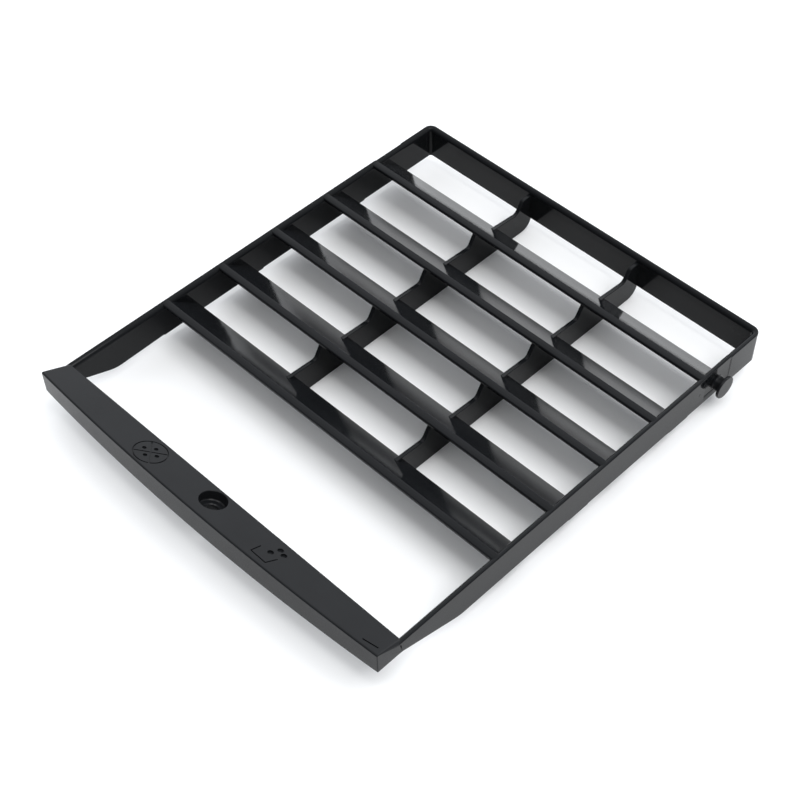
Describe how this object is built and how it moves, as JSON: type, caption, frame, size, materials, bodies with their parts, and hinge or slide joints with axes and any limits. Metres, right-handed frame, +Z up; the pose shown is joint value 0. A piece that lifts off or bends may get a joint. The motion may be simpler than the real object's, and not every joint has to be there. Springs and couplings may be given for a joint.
{
  "type": "louvred guard frame",
  "caption": "Shallow black plastic frame crossed by slanted blades and thin ribs, with a sloping front bar that has a round hole, and a short pivot pin on each side.",
  "frame": {"origin": "centre of the footprint, at the height of the webs' lower edges", "axes": "+X to the right along the front bar, +Y from the front bar to the rear rail, +Z up, out of the face that shows the marks"},
  "size_m": [0.1568, 0.1792, 0.0217],
  "materials": {
    "frame": "glossy black moulded plastic",
    "bar": "satin black moulded plastic",
    "blade": "glossy black moulded plastic",
    "web": "glossy black moulded plastic",
    "pin": "satin black moulded plastic"
  },
  "bodies": {
    "root": {"front_bar": "bar", "rail_left": "frame", "rail_right": "frame", "rail_rear": "frame", "blade_1": "blade", "blade_2": "blade", "blade_3": "blade", "blade_4": "blade", "blade_5": "blade", "web_left_1": "web", "web_left_2": "web", "web_left_3": "web", "web_left_4": "web", "web_left_5": "web", "web_right_1": "web", "web_right_2": "web", "web_right_3": "web", "web_right_4": "web", "web_right_5": "web", "pivot_pin_left": "pin", "pivot_pin_right": "pin"}
  },
  "joints": []
}
